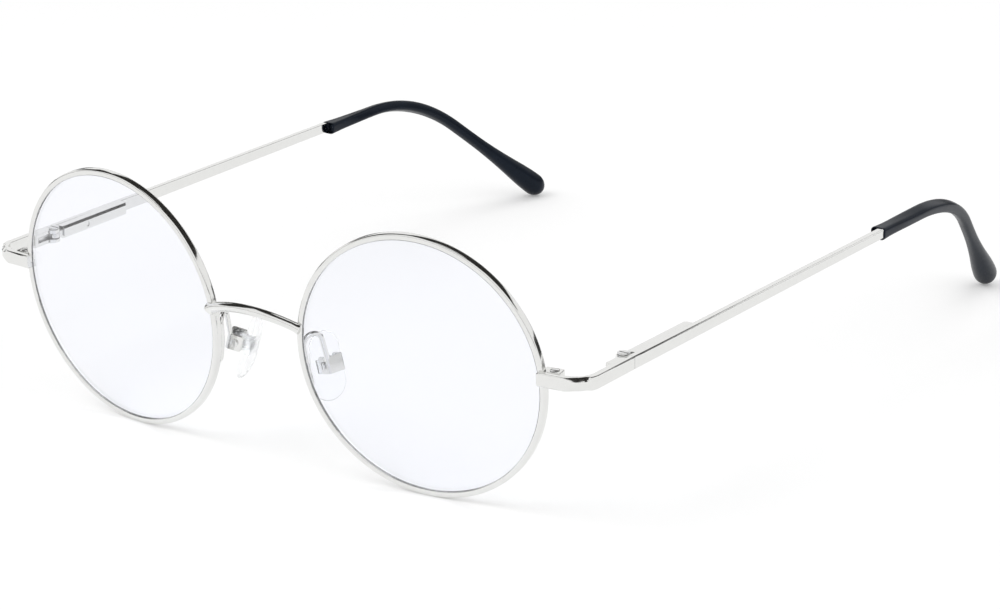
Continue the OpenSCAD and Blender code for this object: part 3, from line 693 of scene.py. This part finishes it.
def endpiece_skin(size):
    """The endpiece's bar, whose bevels widen where the bend has stretched its outer side."""
    bevel = size.endpiece_bevel / MM
    thin = bevel * 0.45
    more = size.bend_bevel / MM - thin
    wide_from = 0.22
    widening = 0.16
    narrowing = 0.3
    angle = FACE_WRAP - 90
    centre = Vector((BEND_X - PIN.x, -END_LEG, 0))
    rings = []
    for y, width in ((0.0, bevel), (-END_LEG * 0.5, (bevel + thin) / 2), (-END_LEG, thin)):
        rings.append([(PIN_INSET - t, y, h) for t, h in bar_outline(END_T, END_H, width)])
    steps = 28
    for k in range(1, steps + 1):
        spin = turn("Z", angle * k / steps)
        along = k / steps
        width = thin + more * smooth((along - wide_from) / widening) * smooth((1 - along) / narrowing)
        outline = bar_outline(END_T, END_H, width)
        rings.append([centre + spin @ Vector((END_BEND_R - t, 0, h)) for t, h in outline])
    spin = turn("Z", angle)
    outline = bar_outline(END_T, END_H, bevel)
    middle = END_BEND_R - END_T / 2
    ends = ((INNER_LEG * 0.5, 1.0), (INNER_LEG - 0.25, 1.0), (INNER_LEG - 0.07, 0.965), (INNER_LEG, 0.88))
    for run, grow in ends:
        rings.append([centre + spin @ Vector((middle - (t - END_T / 2) * grow, -run, h * grow))
                      for t, h in outline])
    return loft(rings)


class EYEWEAR_OT_endpieces(bpy.types.Operator):
    """Build the endpieces that bend back to the hinges, and the blocks that close the rims"""
    bl_idname = "eyewear.endpieces"
    bl_label = "Endpieces"

    def execute(self, context):
        size = context.scene.eyewear_sizes
        skin = endpiece_skin(size)
        edge = size.block_edge / MM
        for side in SIDES:
            make_piece(f"{side}_endpiece_bar", skin, HINGE, side, "silver_metal", "front", f"{side}_endpiece",
                       sharp=25.0)
            softened(f"{side}_upper_barrel", f"{side}_upper_block", "silver_metal", "front", edge, 3)
            softened(f"{side}_lower_barrel", f"{side}_lower_block", "silver_metal", "front", edge, 3)
            softened(f"{side}_closing_screw_head", f"{side}_closing_screw", "screw_steel", "front",
                     size.small_edge / MM)
        return {"FINISHED"}


# Hinges

def coil_skin(size):
    """A hinge spring wound in the room of its packed tube, with closer turns towards its ends."""
    low, high = (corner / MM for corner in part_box("left_hinge_spring"))
    wire_r = size.spring_wire / MM / 2
    outer = (high.x - low.x) / 2
    coil_r = outer - wire_r
    half = (high.y - low.y) / 2 - outer * math.sin(SLOPE) - wire_r
    steps = 16
    count = COIL_TURNS * steps
    path = []
    for k in range(count + 1):
        along = smooth(k / count) * COIL_CROWDING + k / count * (1 - COIL_CROWDING)
        a = FULL_TURN * k / steps
        point = Vector((coil_r * math.cos(a), half * (2 * along - 1), coil_r * math.sin(a)))
        path.append((low + high) / 2 + turn("X", BAR_SLOPE) @ point)
    return tube(path, wire_r, 8)


class EYEWEAR_OT_hinges(bpy.types.Operator):
    """Build the hinge blocks, their screws, the sprung slides and their coil springs"""
    bl_idname = "eyewear.hinges"
    bl_label = "Hinges"

    def execute(self, context):
        size = context.scene.eyewear_sizes
        small = size.small_edge / MM
        skin = coil_skin(size)
        for side in SIDES:
            slide = f"{side}_slide"
            spring = f"{side}_hinge_spring"
            softened(f"{side}_hinge_knuckle", f"{side}_hinge_block", "silver_metal", "front",
                     size.knuckle_edge / MM)
            softened(f"{side}_hinge_pin", f"{side}_hinge_screw", "screw_steel", f"{side}_screw", small)
            softened(f"{side}_slide_eye", f"{side}_spring_slide", "screw_steel", slide, small)
            coil = make_piece(f"{side}_coil", skin, UNMOVED, side, "screw_steel", slide, spring, sharp=60.0)
            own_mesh(coil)
        return {"FINISHED"}


# Temples

def bar_skin(bevel):
    """The temple bar, whose height falls towards the tip."""
    rings = []
    steps = 24
    for k in range(steps + 1):
        y = BAR_START + (BAR_LEN - BAR_START) * k / steps
        h = END_H + (BAR_END_H - END_H) * min(1, y / BAR_LEN)
        rings.append([(PIN_INSET - t, y, z) for t, z in bar_outline(BAR_T, h, bevel)])
    return loft(rings)


class EYEWEAR_OT_temples(bpy.types.Operator):
    """Build the temple bars and the spring housings on their inner sides"""
    bl_idname = "eyewear.temples"
    bl_label = "Temples"

    def execute(self, context):
        size = context.scene.eyewear_sizes
        skin = bar_skin(size.bar_bevel / MM)
        for side in SIDES:
            body = f"{side}_temple"
            make_piece(f"{side}_temple_wire", skin, HINGE, side, "silver_metal", body, f"{side}_temple_bar",
                       sharp=25.0)
            softened(f"{side}_housing_shell", f"{side}_spring_housing", "silver_metal", body,
                     size.block_edge / MM, 3)
        return {"FINISHED"}


# Temple tips

def tip_ring(size, s, lip=1.0):
    """One section of a tip, s millimetres from its start, measured along its middle."""
    bend = min(TIP_BEND, max(0, s - TIP_LEAD) / TIP_BEND_R)
    past = max(0, s - TIP_LEAD - TIP_ARC)
    along = min(s, TIP_LEAD) + TIP_BEND_R * math.sin(bend) + past * math.cos(TIP_BEND)
    down = TIP_BEND_R * (1 - math.cos(bend)) + past * math.sin(TIP_BEND)
    centre = Vector((TIP_X, BAR_LEN + along, -TIP_LOW)) + turn("Y", TIP_LEAN) @ Vector((0, 0, -down))
    leaned = turn("Y", TIP_LEAN * smooth(s / TIP_LEAD))
    normal = Vector((0, -math.sin(bend), 0)) + leaned @ Vector((0, 0, -math.cos(bend)))
    side_way = leaned @ Vector((1, 0, 0))

    neck = size.tip_neck / MM
    swell_len = size.tip_swell_length / MM
    cap_len = size.tip_cap_length / MM
    to_neck = smooth((s - NECK_FROM) / NECK_RUN)
    swell = smooth(max(0, (s - TIP_LEN + cap_len + swell_len) / swell_len) ** SWELL_EASE)
    into_cap = max(0, s - TIP_LEN + cap_len) / cap_len
    cap = math.sqrt(max(0.0004, 1 - into_cap ** 2))
    sleeve = size.tip_lip / MM * max(0, 1 - s / (size.tip_lip_length / MM)) ** 2
    tall, wide = ((start + (neck - start) * to_neck + (TIP_END - neck) * swell) / 2 * cap * lip + sleeve
                  for start in (TIP_START_H, TIP_START_W))
    power = MOUTH_POWER - (MOUTH_POWER - NECK_POWER) * to_neck
    power -= TAIL_ROUNDER * smooth((s - TAIL_FROM) / TAIL_RUN)
    return [centre + tall * u * normal + wide * v * side_way for u, v in squared(power, 56)]


def tip_skin(size):
    """The whole tip: the inside of its mouth, the lead, the bend, the tail and the rounded end."""
    cap_len = size.tip_cap_length / MM
    mouth = ((0.3, 0.8), (-0.3, 0.82), (-0.48, 0.86), (-0.55, 0.92), (-0.48, 0.97), (-0.3, 0.99))
    stations = [0.0, 0.4] + [TIP_LEAD * k / 12 for k in range(1, 13)]
    stations += [TIP_LEAD + TIP_ARC * k / 24 for k in range(1, 25)]
    stations += [TIP_LEAD + TIP_ARC + (TIP_TAIL - cap_len) * k / 24 for k in range(1, 25)]
    stations += [TIP_LEN - cap_len + cap_len * math.sin(math.radians(a)) for a in range(10, 86, 8)]
    stations.append(TIP_LEN - 0.005)
    return loft([tip_ring(size, s, lip) for s, lip in mouth] + [tip_ring(size, s) for s in stations])


class EYEWEAR_OT_tips(bpy.types.Operator):
    """Build the dark moulded tips that hook behind the ears"""
    bl_idname = "eyewear.tips"
    bl_label = "Temple Tips"

    def execute(self, context):
        skin = tip_skin(context.scene.eyewear_sizes)
        for side in SIDES:
            make_piece(f"{side}_tip_sleeve", skin, HINGE, side, "dark_tip", f"{side}_temple",
                       f"{side}_temple_tip", sharp=50.0)
        return {"FINISHED"}


# Nose pads

def loop_point(a):
    """A point of the arm's loop, a radians from its start."""
    return Vector((LOOP_R * (1 - math.cos(a)), 0, LOOP_R * math.sin(a)))


def arm_skin():
    """The arm's wire: a foot brazed along the rim, a loop and a leg down to the box."""
    path = []
    foot_turn = FOOT_LEN / RIM_MID_R
    top = math.pi + math.asin(-FOOT_UP / RIM_MID_R)
    for k in range(15):
        a = top + foot_turn * (1 - k / 14)
        foot = Vector((RIM_MID_R * math.cos(a), RIM_DEPTH + ARM_R - BRAZE, RIM_MID_R * math.sin(a)))
        path.append(RIM @ foot)
    for k in range(1, 29):
        path.append(ARM @ loop_point(LOOP_END * k / 28))
    way = Vector((math.sin(LOOP_END), 0, math.cos(LOOP_END)))
    for k in range(1, 7):
        path.append(ARM @ (loop_point(LOOP_END) + way * ARM_DROP * k / 6))
    return tube(path, ARM_R, 20, first=(0.55, 0.9))


def pad_skin(size):
    """The soft pad: flat behind, crowned in front, wider below than above."""
    top_r = PAD_TOP_W / 2
    low_r = PAD_W / 2
    top_z = PAD_LEN / 2 - top_r
    low_z = low_r - PAD_LEN / 2
    lean_in = math.asin((low_r - top_r) / (top_z - low_z))
    outline = []
    for k in range(33):
        a = -lean_in + (math.pi + 2 * lean_in) * k / 32
        outline.append((top_r * math.cos(a), top_z + top_r * math.sin(a)))
    for k in range(33):
        a = math.pi + lean_in + (math.pi - 2 * lean_in) * k / 32
        outline.append((low_r * math.cos(a), low_z + low_r * math.sin(a)))
    middle = (top_z + low_z) / 2 - PAD_CENTRE_LOW
    edge = size.pad_rim / MM
    profile = [(0.02, 0.0), (0.5, 0.0), (0.9, 0.0), (0.96, edge * 0.12), (0.99, edge * 0.46), (1.0, edge)]
    for degrees in range(8, 89, 8):
        a = math.radians(degrees)
        profile.append((math.cos(a) ** PAD_CROWN, edge + (PAD_T - edge) * math.sin(a)))
    profile.append((0.02, PAD_T))
    rings = []
    for share, depth in profile:
        rings.append([(x * share, depth, middle + (z - middle) * share) for x, z in outline])
    return loft(rings)


class EYEWEAR_OT_nose_pads(bpy.types.Operator):
    """Build the looped arms, their boxes and screws, and the clear soft pads"""
    bl_idname = "eyewear.nose_pads"
    bl_label = "Nose Pads"

    def execute(self, context):
        size = context.scene.eyewear_sizes
        arm = arm_skin()
        soft = pad_skin(size)
        for side in SIDES:
            body = f"{side}_pad"
            make_piece(f"{side}_arm_wire", arm, UNMOVED, side, "silver_metal", "front", f"{side}_pad_arm",
                       sharp=50.0)
            softened(f"{side}_pad_channel", f"{side}_pad_box", "silver_metal", "front",
                     size.pad_box_edge / MM, 4)
            softened(f"{side}_pad_pin", f"{side}_pad_screw", "screw_steel", "front", size.small_edge / MM)
            softened(f"{side}_pad_insert", f"{side}_pad_core", "pad_plastic", body, INSERT_EDGE)
            pad = make_piece(f"{side}_pad_soft", soft, PAD, side, "clear_silicone", body, f"{side}_nose_pad",
                             sharp=60.0)
        return {"FINISHED"}


# Inner pieces

class EYEWEAR_OT_inner_parts(bpy.types.Operator):
    """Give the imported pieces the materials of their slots"""
    bl_idname = "eyewear.inner_parts"
    bl_label = "Inner Parts"

    def execute(self, context):
        slots = {row["node"]: row["material_slot"] for row in frame["record"]["subparts"]}
        for name, node in frame["nodes"].items():
            node.data.materials.clear()
            node.data.materials.append(slot_material(slots[name]))
        return {"FINISHED"}


# Studio

def seen_or_mirrored(tree):
    """1 for rays that the camera, a mirror or a clear piece sends, else 0."""
    path = tree.nodes.new("ShaderNodeLightPath")
    total = path.outputs["Is Camera Ray"]
    for name in ("Is Glossy Ray", "Is Transmission Ray"):
        most = tree.nodes.new("ShaderNodeMath")
        most.operation = "MAXIMUM"
        tree.links.new(total, most.inputs[0])
        tree.links.new(path.outputs[name], most.inputs[1])
        total = most.outputs[0]
    return total


def level_between(tree, low, high):
    """A strength that is high for seen or mirrored rays and low for the rest."""
    level = tree.nodes.new("ShaderNodeMapRange")
    level.inputs["To Min"].default_value = low
    level.inputs["To Max"].default_value = high
    tree.links.new(seen_or_mirrored(tree), level.inputs["Value"])
    return level.outputs["Result"]


def stage_material(name, base, glow=0.0):
    """Matt paper or cloth. A glow adds white where it is seen or mirrored."""
    material, tree, shader = new_material(name)
    shader.inputs["Base Color"].default_value = (*base, 1)
    shader.inputs["Roughness"].default_value = 0.9
    shader.inputs["Specular IOR Level"].default_value = 0.0
    if glow:
        shader.inputs["Emission Color"].default_value = (1, 1, 1, 1)
        tree.links.new(level_between(tree, 0.0, glow), shader.inputs["Emission Strength"])
    return material


def stage_mesh(name, points, faces, material):
    mesh = bpy.data.meshes.new(name)
    mesh.from_pydata(points, [], faces)
    mesh.materials.append(material)
    made = bpy.data.objects.new(name, mesh)
    bpy.context.scene.collection.objects.link(made)
    return made


def dark_flag(name, material, heights, bearings, radius=2.2):
    """Cloth between two heights and two bearings from +Y towards +X, in degrees, that only mirrors show."""
    low_edge, high_edge = heights
    from_way, to_way = bearings
    step = 4
    rows = max(1, round((high_edge - low_edge) / step))
    columns = round((to_way - from_way) / step)
    points = []
    for i in range(rows + 1):
        e = math.radians(low_edge + (high_edge - low_edge) * i / rows)
        out = radius * math.cos(e)
        for k in range(columns + 1):
            w = math.radians(from_way + (to_way - from_way) * k / columns)
            points.append((out * math.sin(w), out * math.cos(w), radius * math.sin(e)))
    faces = []
    for i in range(rows):
        for k in range(columns):
            a = i * (columns + 1) + k
            faces.append((a, a + 1, a + columns + 2, a + columns + 1))
    made = stage_mesh(name, points, faces, material)
    made.visible_camera = False
    made.visible_diffuse = False
    made.visible_shadow = False
    made.visible_transmission = False


def soft_lamp(name, at, size, power):
    """A round lamp that points at the origin, below the middle of the object."""
    lamp = bpy.data.lights.new(name, "AREA")
    lamp.shape = "DISK"
    lamp.size = size
    lamp.energy = power
    made = bpy.data.objects.new(name, lamp)
    made.location = at
    made.rotation_mode = "QUATERNION"
    made.rotation_quaternion = (-Vector(at)).to_track_quat("-Z", "Y")
    bpy.context.scene.collection.objects.link(made)
    made.visible_glossy = False


def add_camera(scene, focal_length):
    """Puts the camera at the photograph's viewing angle."""
    way = math.radians(CAMERA_WAY)
    rise = math.radians(CAMERA_RISE)
    roll = math.radians(CAMERA_ROLL)
    level = Vector((math.cos(way), math.sin(way), 0))
    back = Vector((math.sin(way) * math.cos(rise), -math.cos(way) * math.cos(rise), math.sin(rise)))
    upright = back.cross(level)
    right = level * math.cos(roll) + upright * math.sin(roll)
    up = upright * math.cos(roll) - level * math.sin(roll)
    data = bpy.data.cameras.new("camera")
    data.sensor_fit = "HORIZONTAL"
    data.sensor_width = SENSOR
    data.lens = focal_length
    data.clip_start = 0.01
    data.clip_end = 20.0
    camera = bpy.data.objects.new("camera", data)
    place = Matrix((right, up, back)).transposed().to_4x4()
    place.translation = LOOK_AT + back * CAMERA_BACK
    camera.matrix_world = place
    scene.collection.objects.link(camera)
    scene.camera = camera


class EYEWEAR_OT_stage(bpy.types.Operator):
    """Set the floor, the soft lamps, the dark cloth that mirrors show and the camera"""
    bl_idname = "eyewear.stage"
    bl_label = "Studio"

    def execute(self, context):
        scene = context.scene
        studio = scene.eyewear_studio
        scene.view_settings.view_transform = "Standard"
        s = FLOOR_HALF
        stage_mesh("floor", [(-s, -s, 0), (s, -s, 0), (s, s, 0), (-s, s, 0)], [(0, 1, 2, 3)],
                   stage_material("floor_paper", studio.floor_colour, studio.floor_glow))

        black = stage_material("black_cloth", (0.05, 0.048, 0.045))
        dark_flag("back_flag", black, heights=(31.5, 60), bearings=(-4, 100))
        dark_flag("corner_flag", black, heights=(38, 60), bearings=(-50, -4))
        dark_flag("left_flag", black, heights=(22, 60), bearings=(-120, -50))
        dark_flag("top_flag", black, heights=(60, 78), bearings=(-180, 180))
        grey = stage_material("grey_cloth", (0.05, 0.05, 0.05))
        dark_flag("back_horizon_flag", grey, heights=(0, 12), bearings=(-60, 60), radius=0.45)
        dark_flag("left_horizon_flag", grey, heights=(-1, 5), bearings=(-150, -60))
        dark_flag("front_horizon_flag", grey, heights=(-1, 5), bearings=(100, 210))

        level = studio.light_level
        soft_lamp("key_lamp", at=(-0.5, -0.7, 0.95), size=0.9, power=8.0 * level)
        soft_lamp("fill_lamp", at=(0.9, -0.3, 0.8), size=1.0, power=4.5 * level)
        soft_lamp("back_lamp", at=(0.1, 0.9, 0.9), size=1.0, power=4.5 * level)
        world = bpy.data.worlds.new("studio")
        scene.world = world
        world.use_nodes = True
        tree = world.node_tree
        background = tree.nodes["Background"]
        background.inputs["Color"].default_value = (1, 1, 1, 1)
        tree.links.new(level_between(tree, 0.6, 1.0), background.inputs["Strength"])
        add_camera(scene, studio.focal_length)
        return {"FINISHED"}


class EYEWEAR_PT_panel(bpy.types.Panel):
    bl_label = "Eyeglasses"
    bl_idname = "EYEWEAR_PT_panel"
    bl_space_type = "VIEW_3D"
    bl_region_type = "UI"
    bl_category = "Eyeglasses"

    def draw(self, context):
        for group in (context.scene.eyewear_sizes, context.scene.eyewear_looks, context.scene.eyewear_studio):
            for name in group.__annotations__:
                self.layout.prop(group, name)
        for operator in OPERATORS:
            self.layout.operator(operator.bl_idname)


OPERATORS = (EYEWEAR_OT_inner_parts, EYEWEAR_OT_rims, EYEWEAR_OT_bridge, EYEWEAR_OT_endpieces,
             EYEWEAR_OT_hinges, EYEWEAR_OT_temples, EYEWEAR_OT_tips, EYEWEAR_OT_nose_pads, EYEWEAR_OT_stage)
CLASSES = (EyewearSizes, EyewearLooks, EyewearStudio, *OPERATORS, EYEWEAR_PT_panel)


def register():
    for cls in CLASSES:
        bpy.utils.register_class(cls)
    bpy.types.Scene.eyewear_sizes = bpy.props.PointerProperty(type=EyewearSizes)
    bpy.types.Scene.eyewear_looks = bpy.props.PointerProperty(type=EyewearLooks)
    bpy.types.Scene.eyewear_studio = bpy.props.PointerProperty(type=EyewearStudio)


def unregister():
    del bpy.types.Scene.eyewear_studio
    del bpy.types.Scene.eyewear_looks
    del bpy.types.Scene.eyewear_sizes
    for cls in reversed(CLASSES):
        bpy.utils.unregister_class(cls)


def main():
    register()
    bpy.ops.eyewear.inner_parts()
    bpy.ops.eyewear.rims()
    bpy.ops.eyewear.bridge()
    bpy.ops.eyewear.endpieces()
    bpy.ops.eyewear.hinges()
    bpy.ops.eyewear.temples()
    bpy.ops.eyewear.tips()
    bpy.ops.eyewear.nose_pads()
    bpy.ops.eyewear.stage()


if __name__ == "__main__":
    main()
